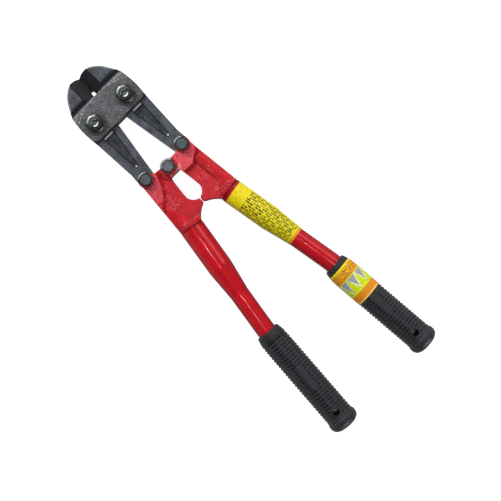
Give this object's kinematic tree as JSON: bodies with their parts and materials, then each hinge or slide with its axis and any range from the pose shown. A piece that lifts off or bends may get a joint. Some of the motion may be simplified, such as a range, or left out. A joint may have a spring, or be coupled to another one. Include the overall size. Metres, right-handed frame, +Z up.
{
  "type": "bolt cutters",
  "caption": "Compound-action bolt cutters with centre-cut jaws, link plates, forged red handle heads, swaged tubular handles and ribbed black rubber grips.",
  "frame": {"origin": "on the axis of the centre pivot that joins the two handle heads, at the surface the tool lies on", "axes": "+X along the tool from the jaws to the handle ends, +Y toward the right handle, which carries the two labels, +Z up out of the surface the tool lies on, along every pivot"},
  "size_m": [0.4468, 0.1474, 0.0351],
  "materials": {
    "blade_steel": "blackened forged steel with dark ground cutting bevels",
    "plate_steel": "satin gray steel plate",
    "bolt_steel": "blackened steel fasteners with lighter worn rims",
    "nylon": "dull nylon locking ring",
    "forged_head_red": "red paint over rough forging",
    "tube_red": "gloss red powder coat",
    "grip_rubber": "matt black ribbed rubber",
    "tube_label_film": "yellow printed film with orange borders",
    "grip_label_film": "printed film in yellow, orange, lime and white"
  },
  "bodies": {
    "left_handle": {"left_handle_head": "forged_head_red", "left_tube": "tube_red", "left_grip": "grip_rubber", "left_link_bolt": "bolt_steel", "left_link_washer": "bolt_steel", "left_link_nut": "bolt_steel", "pivot_bolt": "bolt_steel", "pivot_nut": "bolt_steel"},
    "right_handle": {"right_handle_head": "forged_head_red", "right_tube": "tube_red", "right_grip": "grip_rubber", "tube_label": "tube_label_film", "grip_label": "grip_label_film", "right_link_bolt": "bolt_steel", "right_link_washer": "bolt_steel", "right_link_nut": "bolt_steel", "pivot_washer": "bolt_steel"},
    "left_jaw": {"left_blade": "blade_steel"},
    "right_jaw": {"right_blade": "blade_steel"},
    "plates": {"upper_link_plate": "plate_steel", "lower_link_plate": "plate_steel", "right_blade_bolt": "bolt_steel", "right_lock_nut": "bolt_steel", "right_nylon_ring": "nylon", "left_blade_bolt": "bolt_steel", "left_lock_nut": "bolt_steel", "left_nylon_ring": "nylon"}
  },
  "joints": [
    {"name": "handle_spread", "type": "hinge", "parent": "left_handle", "child": "right_handle", "pos_m": [0, 0, 0.016], "axis": [0, 0, 1], "range_deg": [0, 90]},
    {"name": "left_jaw_turn", "type": "hinge", "parent": "left_handle", "child": "left_jaw", "pos_m": [-0.00639, -0.02582, 0.016], "axis": [0, 0, 1], "range_deg": [0, 53.19]},
    {"name": "plates_turn", "type": "hinge", "parent": "left_jaw", "child": "plates", "pos_m": [-0.08275, -0.0212, 0.016], "axis": [0, 0, 1], "range_deg": [-8.19, 0]},
    {"name": "right_jaw_turn", "type": "hinge", "parent": "right_handle", "child": "right_jaw", "pos_m": [-0.00639, 0.02582, 0.016], "axis": [0, 0, 1], "range_deg": [-53.19, 0]}
  ],
  "couplings": [
    {"joint": "left_jaw_turn", "follows": "handle_spread", "ratio": 0.591},
    {"joint": "plates_turn", "follows": "handle_spread", "ratio": -0.091},
    {"joint": "right_jaw_turn", "follows": "handle_spread", "ratio": -0.591}
  ]
}
